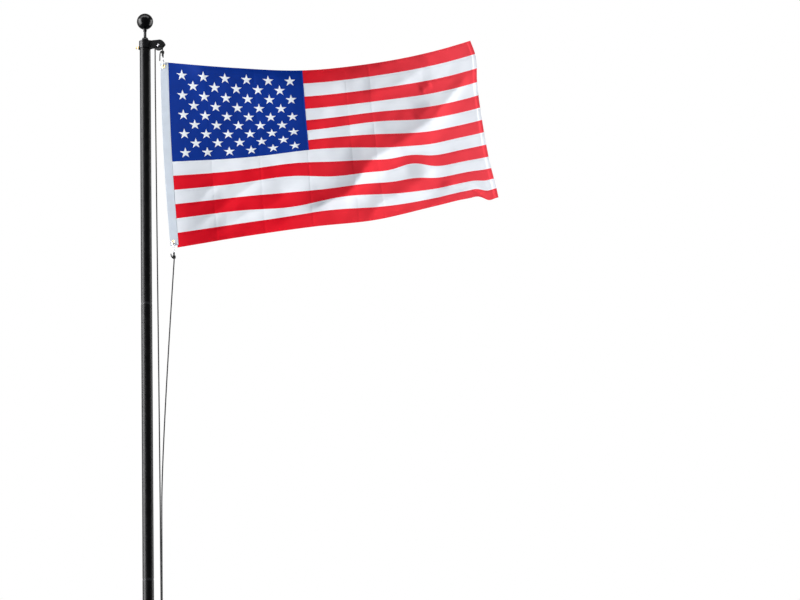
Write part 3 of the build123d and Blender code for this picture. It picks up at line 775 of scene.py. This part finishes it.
def facing(down, right, side):
    """Unit normals of a surface along down and right, towards the front for side -1, the back for 1."""
    normals = np.cross(down, right)
    normals /= np.linalg.norm(normals, axis=-1)[..., None]
    return np.where(normals[..., 1:2] * side < 0, -normals, normals)


def cloth_surface(u, v, side, lift=0.0):
    """Points and outward normals of one face of the cloth, side -1 for the front and 1 for the back."""
    down = cloth_points(u, v + slope_step) - cloth_points(u, v - slope_step)
    right = cloth_points(u + slope_step, v) - cloth_points(u - slope_step, v)
    normals = facing(down, right, side)
    return cloth_points(u, v) + normals * (half_thickness(u, v) + lift)[..., None], normals


def lay_flat(piece, flat):
    """UV layer with the place of each point on the flat cloth, in metres."""
    layer = piece.data.uv_layers.new(name="cloth")
    corners = np.array([loop.vertex_index for loop in piece.data.loops])
    layer.data.foreach_set("uv", flat[corners].ravel())


def stripe_slot(u, band):
    """Number of the material: red 0 and white 1 for the stripes, blue 2 for the canton."""
    return 2 if u < canton_share and band < canton_stripes else band % 2


def flag_cloth(materials):
    """The whole cloth as one thin closed sheet with thicker seams, stripes and canton by face."""
    u = cloth_columns()
    v = cloth_rows()
    grid_u, grid_v = np.meshgrid(u, v)
    middle = cloth_points(grid_u, grid_v)
    normals = facing(np.gradient(middle, axis=0), np.gradient(middle, axis=1), -1)
    out = normals * half_thickness(grid_u, grid_v)[..., None]
    rows, columns = grid_u.shape
    points = np.concatenate([(middle + out).reshape(-1, 3), (middle - out).reshape(-1, 3)])
    total = rows * columns
    faces, slots = [], []
    for row in range(rows - 1):
        band = int((v[row] + v[row + 1]) / 2 * stripe_count)
        for column in range(columns - 1):
            a = row * columns + column
            quad = (a, a + columns, a + columns + 1, a + 1)
            faces += [quad, tuple(total + p for p in reversed(quad))]
            slots += [stripe_slot((u[column] + u[column + 1]) / 2, band)] * 2
    grid = np.arange(total).reshape(rows, columns)
    rim = np.concatenate([grid[0], grid[1:, -1], grid[-1, -2::-1], grid[-2:0:-1, 0]]).tolist()
    rim_edges = list(zip(rim, rim[1:] + rim[:1]))
    for a, b in rim_edges:
        faces.append((a, b, total + b, total + a))
        row, column = divmod(a, columns)
        band = min(int(v[min(row, rows - 2)] * stripe_count + tiny), stripe_count - 1)
        slots.append(stripe_slot(u[column], band))
    piece = add_mesh("flag_cloth", points, faces, materials, slots=slots)
    for face in range(len(faces) - len(rim), len(faces)):
        piece.data.polygons[face].use_smooth = False
    around = {frozenset((a + side, b + side)) for a, b in rim_edges for side in (0, total)}
    for edge in piece.data.edges:
        edge.use_edge_sharp = frozenset(edge.vertices) in around
    flat = np.stack([grid_u * cloth_length, (1 - grid_v) * cloth_height], axis=-1).reshape(-1, 2)
    lay_flat(piece, np.concatenate([flat, flat]))
    return piece


weave_scale = 560.0
crinkle = 0.35
# Where the painted light on the red cloth starts and ends, in metres along the fly.
painted_light_start = 0.5
painted_light_end = 1.6


def nylon(name, colour, shade, sheen=0.06, painted_light_colour=None):
    """Woven nylon: a fine warp and weft, soft sheen and slight changes of colour from thread to thread,
    and, if a lit colour is given, painted light that turns the cloth towards it along the fly.
    """
    cloth = Shader(name, colour, 0.6, specular=0.006, sheen=sheen)
    cloth.tint(cloth.spread(cloth.noise(5.0, uv=True), 0.35, 0.75, 0.0, 0.5), shade)
    if painted_light_colour is not None:
        # Painted light: from half a metre along the fly towards its end, the colour is brought to a
        # lighter, pinker one that stands in for brighter light there.
        separate = cloth.node("ShaderNodeSeparateXYZ")
        cloth.link(cloth.place(uv=True), separate.inputs["Vector"])
        cloth.tint(cloth.spread(separate.outputs["X"], painted_light_start, painted_light_end), painted_light_colour)
    place = cloth.place(uv=True)
    warp, weft = (cloth.wave(weave_scale, direction, place) for direction in ("X", "Y"))
    weave = cloth.math("MULTIPLY", warp, weft)
    cloth.tint(cloth.math("MULTIPLY", weave, 0.18), shade)
    cloth.rough(cloth.spread(cloth.noise(300.0, uv=True), 0.3, 0.7, 0.56, 0.7))
    cloth.bump(cloth.noise(24.0, 4.0, (0.55, 1.5, 1), uv=True), crinkle, 0.004)
    cloth.bump(weave, 0.15, 0.0002)
    return cloth.material


# The red's last colour is painted light: the stripes turn lighter and pinker towards the fly.
flag_red = nylon("flag_red", (0.76, 0.003, 0.016), (0.64, 0.002, 0.011), 0.04, (0.84, 0.06, 0.078))
flag_white = nylon("flag_white", (0.82, 0.83, 0.86), (0.76, 0.77, 0.82))
flag_blue = nylon("flag_blue", (0.001, 0.031, 0.27), (0.0006, 0.018, 0.17), 0.02)
cloth = flag_cloth([flag_red, flag_white, flag_blue])
on_body(cloth, "flag", "flag_cloth", "flag_fly")


# Stars: embroidered on both faces of the canton, in rows of six and five

star_radius = 0.0275
star_notch = 0.382
star_corners = 10
star_splits = 4
star_edge = 0.00015
star_ridge = 0.0003
star_rows = 9
star_first = 0.064
star_pitch = 0.1035
star_drop = 0.0155


def star_pattern():
    """Points of a star of radius one, their shares of the ridge's height, its faces and outer ring."""
    corners = []
    for step in range(star_corners):
        angle = math.pi / 2 + step * 2 * math.pi / star_corners
        reach = star_notch if step % 2 else 1.0
        corners.append(reach * np.array((math.cos(angle), math.sin(angle))))
    points, crowns, faces, inner = [(0.0, 0.0)], [1.0], [], [0]
    for level in range(1, star_splits + 1):
        ring = []
        for first, second in zip(corners, corners[1:] + corners[:1]):
            for part in range(level):
                ring.append(len(points))
                points.append((first * (level - part) + second * part) / star_splits)
                crowns.append(1 - level / star_splits)
        for step in range(star_corners):
            for part in range(level):
                low, high = step * (level - 1) + part, step * level + part
                after = ring[(high + 1) % len(ring)]
                faces.append((inner[low % len(inner)], ring[high], after))
                if part < level - 1:
                    faces.append((inner[low], after, inner[(low + 1) % len(inner)]))
        inner = ring
    return np.array(points), np.array(crowns), faces, inner


def star_places():
    """Middles of the fifty stars on the flat cloth, along the fly and down the hoist."""
    places = []
    for row in range(star_rows):
        short = row % 2
        down = ((row + 1) / (star_rows + 1) + star_drop) * cloth_height * canton_stripes / stripe_count
        for column in range(6 - short):
            places.append((star_first + (column + short / 2) * star_pitch, down))
    return places


def stars(name, side, material):
    """All the stars of one face: raised to a ridge down each arm, with a low wall round the edge."""
    pattern, crowns, pattern_faces, edge = star_pattern()
    middles = np.array(star_places())
    u = (middles[:, :1] + star_radius * pattern[:, 0]) / cloth_length
    v = (middles[:, 1:] - star_radius * pattern[:, 1]) / cloth_height
    surface, normals = cloth_surface(u, v, side)
    raised = surface + normals * (star_edge + star_ridge * crowns)[:, None]
    foot = surface[:, edge] - normals[:, edge] * star_edge
    points = np.concatenate([raised, foot], axis=1)
    flat = np.stack([u * cloth_length, (1 - v) * cloth_height], axis=-1)
    flat = np.concatenate([flat, flat[:, edge]], axis=1).reshape(-1, 2)
    size, ring = len(pattern), len(edge)
    wall = [(edge[after], edge[k], size + k, size + after) for k, after in round_ring(ring)]
    star_faces = pattern_faces + wall
    if side > 0:
        star_faces = [tuple(reversed(face)) for face in star_faces]
    starts = [star * (size + ring) for star in range(len(middles))]
    faces = [tuple(start + corner for corner in face) for start in starts for face in star_faces]
    piece = add_mesh(name, points.reshape(-1, 3), faces, [material])
    lay_flat(piece, flat)
    return on_body(piece, "flag", "flag_cloth")


star_white = nylon("star_white", (0.86, 0.87, 0.89), (0.78, 0.79, 0.83))
flag_stars = [stars("stars_front", -1, star_white), stars("stars_back", 1, star_white)]


# Sewing

seam_stitch = 0.0036
heading_stitch = 0.003
stitch_ends = (-0.42, 0.42)
stitch_sink = 0.3
thread_radius = 0.00028
thread_lift = 0.25
row_samples = 360
row_start = 0.004
hem_row = 0.0055
seam_rows = (0.042, 0.098)
seam_row_start = 0.001
canton_rows = (0.0012, 0.0062)
canton_row_start = 0.008
fly_hem_rows = (0.0015, 0.0055, 0.0095, 0.0135)
row_break = 0.002


def sew(name, rows, materials, pitch, body_slot):
    """Stitches as short bars of thread along rows, each with its points, normals and material number."""
    bar_faces = []
    for k, after in round_ring(4):
        bar_faces += [(0, 1 + after, 1 + k), (5, 1 + k, 1 + after)]
    points, faces, slots = [], [], []
    for line, normals, slot in rows:
        run = run_along(line)
        count = int(run[-1] / pitch)
        middles = (np.arange(count) + 0.5) * run[-1] / count
        centre, normal = at_distances(middles, run, line), at_distances(middles, run, normals)
        start, end = (at_distances(middles + reach * pitch, run, line) for reach in stitch_ends)
        side = np.cross(normal, end - start)
        side *= thread_radius / np.linalg.norm(side, axis=1)[:, None]
        out = normal * thread_radius
        low = out * stitch_sink
        ring = [centre + out, centre + side, centre - out, centre - side]
        first = 6 * sum(map(len, points))
        points.append(np.stack([start - low, *ring, end - low], axis=1))
        for base in range(first, first + 6 * count, 6):
            faces += [tuple(base + corner for corner in face) for face in bar_faces]
        slots += [slot] * len(bar_faces) * count
    piece = add_mesh(name, np.concatenate(points).reshape(-1, 3), faces, materials, slots=slots)
    return on_body(piece, "flag", body_slot)


def sewing_rows(side):
    """Two rows on each seam, one on the narrow hems, two at the canton's side and four on the fly's hem."""
    hem_share = hem_width / cloth_length
    inset = hem_row / cloth_height
    rows = [
        ((row_start, inset), (canton_share, inset), 2),
        ((canton_share, inset), (1, inset), 0),
        ((row_start, 1 - inset), (1, 1 - inset), 0),
    ]
    for seam in range(1, stripe_count):
        start = canton_share if seam < canton_stripes else row_start
        for share in seam_rows:
            v = (seam + share) / stripe_count
            rows.append(((start + seam_row_start, v), (1 - hem_share, v), seam % 2))
    for place in canton_rows:
        u = canton_share - place / cloth_length
        rows.append(((u, canton_row_start), (u, canton_stripes / stripe_count - row_break), 2))
    for place in fly_hem_rows:
        u = 1 - place / cloth_length
        for stripe in range(stripe_count):
            start, end = (stripe + row_break) / stripe_count, (stripe + 1 - row_break) / stripe_count
            rows.append(((u, start), (u, end), stripe % 2))
    starts, ends, slots = (np.array(part) for part in zip(*rows))
    places = starts[..., None] + (ends - starts)[..., None] * np.linspace(0, 1, row_samples)
    lines, normals = cloth_surface(places[:, 0], places[:, 1], side, thread_radius * thread_lift)
    return list(zip(lines, normals, slots.tolist()))


threads = [
    nylon("thread_red", (0.62, 0.012, 0.025), (0.5, 0.008, 0.018)),
    nylon("thread_white", (0.8, 0.81, 0.84), (0.7, 0.71, 0.75)),
    nylon("thread_blue", (0.001, 0.031, 0.27), (0.0006, 0.018, 0.17), 0.02),
]
seams = [
    sew("seams_front", sewing_rows(-1), threads, seam_stitch, "flag_cloth"),
    sew("seams_back", sewing_rows(1), threads, seam_stitch, "flag_cloth"),
]


# Heading: a strip of canvas folded over the cloth's edge and sewn down both sides

heading_pole_side = 0.015
heading_flag_side = 0.0246
heading_thickness = 0.0024
heading_rounding = 0.001
heading_top = 0.0313
heading_length = 0.8914618
grommets = (0.017, heading_length - 0.017)
grommet_hole = 0.006
heading_lines = (-0.0216, -0.0168, 0.0118)
heading_columns = 34
heading_step = 0.003
heading_dip = 0.0002
sewing_dip = 0.00022
sewing_dip_width = 0.0008
pucker_depth = 0.00012
pucker_count = 11
pucker_reach = 0.016
pucker_fade = 0.006
end_fold_rise = 0.00012
end_fold_width = 0.009
canvas_wave = 0.0003
canvas_wave_size = 0.045
canvas_still = 0.03


def heading_height(across, down):
    """Half the thickness of the canvas: it sinks along its sewing and puckers round its grommets."""
    height = heading_thickness / 2 - heading_dip
    for line in heading_lines:
        height = height - sewing_dip * np.exp(-(((across - line) / sewing_dip_width) ** 2))
    for middle in grommets:
        reach = np.hypot(across, down - middle)
        angle = np.arctan2(across, down - middle)
        fade = np.clip((pucker_reach - reach) / pucker_fade, 0, 1)
        height = height + pucker_depth * np.cos(pucker_count * angle) * fade
    return height + end_fold_rise * (np.minimum(down, heading_length - down) < end_fold_width)


def heading_sway(down):
    """How far the canvas stands out of its plane; it is still at its grommets."""
    reach = min(abs(down - middle) for middle in grommets)
    return canvas_wave * noise.noise((down / canvas_wave_size, 2.7, 0.4)) * min(1, reach / canvas_still)


def heading_place(across, out, down):
    """Place of a point of the heading, which bows with the cloth."""
    bow = hoist_bow * math.sin(math.pi * down / heading_length)
    return top_frame @ Vector((across + bow, out, heading_top + down))


def heading_canvas(material):
    """The canvas as rings of points from the top down, with rounded edges and a hole for each grommet."""
    left, right = heading_rounding - heading_flag_side, heading_pole_side - heading_rounding
    across = np.linspace(left, right, heading_columns)
    arc = np.linspace(0, math.pi, 5)[1:-1]
    edge = heading_rounding * np.sin(arc)
    places = np.concatenate([across, right + edge, across[::-1], left - edge])
    size = len(places)
    rows = round(heading_length / heading_step)
    points, faces = [], []
    for down in np.linspace(0, heading_length, rows + 1):
        front = heading_height(across, down)
        turn = front[0] * np.cos(arc)
        outs = heading_sway(down) + np.concatenate([-front, -turn, front[::-1], turn])
        points += [heading_place(x, y, down) for x, y in zip(places, outs)]
    for low in range(0, rows * size, size):
        high = low + size
        faces += [(low + k, high + k, high + after, low + after) for k, after in round_ring(size)]
    faces += [tuple(range(size)), tuple(rows * size + k for k in reversed(range(size)))]
    piece = add_mesh("flag_heading_canvas", points, faces, [material])
    for end in (-1, -2):
        piece.data.polygons[end].use_smooth = False
    for down in grommets:
        bore(piece, top_frame @ Vector((0, 0, heading_top + down)), grommet_hole)
    return piece


def bore(piece, middle, radius, sides=48, reach=0.01):
    """Cut a round hole through a piece along Y."""
    points = []
    for y in (-reach, reach):
        for angle in (2 * math.pi * k / sides for k in range(sides)):
            points.append(middle + Vector((radius * math.cos(angle), y, radius * math.sin(angle))))
    faces = [(k, sides + k, sides + after, after) for k, after in round_ring(sides)]
    faces += [tuple(range(sides)), tuple(sides + k for k in reversed(range(sides)))]
    drill = add_mesh("drill", points, faces, [], smooth=False)
    cut = piece.modifiers.new("bore", "BOOLEAN")
    cut.operation = "DIFFERENCE"
    cut.solver = "EXACT"
    cut.object = drill
    solved = bpy.data.meshes.new_from_object(piece.evaluated_get(bpy.context.evaluated_depsgraph_get()))
    piece.modifiers.clear()
    old, drill_mesh = piece.data, drill.data
    piece.data = solved
    bpy.data.objects.remove(drill)
    for mesh in (old, drill_mesh):
        bpy.data.meshes.remove(mesh)


canvas_scale = 380.0
canvas_thread_lift = 0.2
heading_row_start = 0.004
heading_end_row = 0.0045


def canvas_weave():
    """White cotton canvas with a coarse plain weave, darker between its threads, slubs and a little dust in
    patches; its colours are greyer and bluer than white canvas, painted shade for the bluish shade on the
    heading.
    """
    # Painted shade: the base and the patch colours are a blue-grey that stands in for the bluish shade on
    # the heading, not the canvas's own white.
    canvas = Shader("canvas_white", (0.62, 0.67, 0.74), 0.85, specular=0.08, sheen=0.03)
    canvas.tint(canvas.spread(canvas.noise(22.0, 4.0), 0.35, 0.75, 0.0, 0.6), (0.54, 0.58, 0.64))
    place = canvas.place()
    warp, weft = (canvas.wave(canvas_scale, direction, place, 0.6) for direction in ("X", "Z"))
    weave = canvas.math("ADD", warp, weft)
    canvas.tint(canvas.spread(weave, 0.3, 1.2, 0.25, 0.0), (0.46, 0.49, 0.55))
    slubs = canvas.spread(canvas.noise(700.0, 2.0, (1, 1, 0.12)), 0.6, 0.8)
    canvas.tint(canvas.math("MULTIPLY", slubs, 0.15), (0.74, 0.77, 0.81))
    canvas.wear(500.0, 0.8, 0.92)
    canvas.bump(weave, 0.3, 0.0004)
    return canvas.material


canvas_white = canvas_weave()
heading = on_body(heading_canvas(canvas_white), "flag", "canvas", "flag_heading")


def heading_rows():
    """Sewing down both edges of the heading and across its ends, on both faces."""
    top, bottom = heading_row_start, heading_length - heading_row_start
    paths = [((line, top), (line, bottom)) for line in heading_lines]
    for end in (heading_end_row, heading_length - heading_end_row):
        paths.append(((heading_lines[0], end), (heading_lines[-1], end)))
    rows = []
    for side in (-1, 1):
        for start, end in paths:
            across = np.linspace(start[0], end[0], row_samples)
            down = np.linspace(start[1], end[1], row_samples)
            out = side * (heading_height(across, down) + thread_radius * canvas_thread_lift)
            line = np.array([heading_place(*place) for place in zip(across, out, down)])
            rows.append((line, np.tile((0.0, side, 0.0), (row_samples, 1)), 0))
    return rows


thread_canvas = nylon("thread_canvas", (0.78, 0.79, 0.8), (0.66, 0.67, 0.69))
heading_sewing = sew("heading_sewing", heading_rows(), [thread_canvas], heading_stitch, "canvas")


# Studio

fill_colour = (0.80, 0.90, 1.0)
fill_strength = 0.38
lamps_aim_x = 0.3


def studio():
    """White background for the camera and for reflections, and dim even light for the surfaces."""
    world = bpy.data.worlds.new("studio")
    bpy.context.scene.world = world
    world.use_nodes = True
    tree = world.node_tree
    tree.nodes.clear()
    mix = tree.nodes.new("ShaderNodeMixShader")
    for socket, colour, strength in ((1, fill_colour, fill_strength), (2, (1, 1, 1), 1.0)):
        light = tree.nodes.new("ShaderNodeBackground")
        light.inputs["Color"].default_value = (*colour, 1)
        light.inputs["Strength"].default_value = strength
        tree.links.new(light.outputs["Background"], mix.inputs[socket])
    path = tree.nodes.new("ShaderNodeLightPath")
    seen = path.outputs["Is Camera Ray"]
    for kind in ("Is Glossy Ray", "Is Transmission Ray"):
        either = tree.nodes.new("ShaderNodeMath")
        either.operation = "MAXIMUM"
        tree.links.new(seen, either.inputs[0])
        tree.links.new(path.outputs[kind], either.inputs[1])
        seen = either.outputs["Value"]
    tree.links.new(seen, mix.inputs["Fac"])
    output = tree.nodes.new("ShaderNodeOutputWorld")
    tree.links.new(mix.outputs["Shader"], output.inputs["Surface"])


def softbox(name, azimuth, distance, height, size, power, aim_height, card=False):
    """Tall lamp that stands at an azimuth round the pole and faces it; a card only shows in gloss."""
    data = bpy.data.lights.new(name, "AREA")
    data.shape = "RECTANGLE"
    data.size, data.size_y = size
    data.energy = power
    lamp = bpy.data.objects.new(name, data)
    bpy.context.scene.collection.objects.link(lamp)
    angle = math.radians(azimuth)
    lamp.location = (distance * math.cos(angle), distance * math.sin(angle), height)
    aim = Vector((lamps_aim_x, 0, aim_height)) - lamp.location
    lamp.rotation_euler = aim.to_track_quat("-Z", "Y").to_euler()
    lamp.visible_camera = False
    lamp.visible_diffuse = not card
    return lamp


studio()
softbox("key", -155, 24.0, 16.4, (4.8, 27.0), 10300, 5.6)
softbox("edge", 172, 7.0, 6.0, (1.4, 9.0), 500, 5.4)
softbox("card_left", -150, 8.0, 6.0, (6.0, 10.0), 15000, 5.4, card=True)
softbox("card_right", 26, 9.0, 5.5, (5.6, 10.0), 5500, 5.4, card=True)
softbox("card_top", -73, 3.5, 13.6, (14.0, 3.4), 5000, 6.4, card=True)

floor_size = 40.0
floor_shader = Shader("floor", (0.8, 0.8, 0.79), 0.8, specular=0.1)
floor_shader.patches(1.5, 0.3, 0.7, (0.77, 0.77, 0.76))
corner = floor_size / 2
floor = add_mesh(
    "floor",
    [(-corner, -corner, 0), (corner, -corner, 0), (corner, corner, 0), (-corner, corner, 0)],
    [(0, 1, 2, 3)],
    [floor_shader.material],
)


def photo_camera():
    """Camera fitted to the photograph: it looks past the pole, upwards, and is rolled a little."""
    heading = camera_azimuth + camera_yaw + math.pi / 2
    turns = ((heading, "Z"), (camera_pitch + math.pi / 2, "X"), (camera_roll, "Z"))
    data = bpy.data.cameras.new("photo_camera")
    data.lens = camera_lens
    data.sensor_width = camera_sensor
    data.clip_end = 200
    camera = bpy.data.objects.new("photo_camera", data)
    bpy.context.scene.collection.objects.link(camera)
    place = Matrix.Translation(camera_place)
    for angle, axis in turns:
        place = place @ Matrix.Rotation(angle, 4, axis)
    camera.matrix_world = place
    bpy.context.scene.camera = camera


photo_camera()
bpy.context.scene.view_settings.view_transform = "Standard"

bpy.context.view_layer.update()
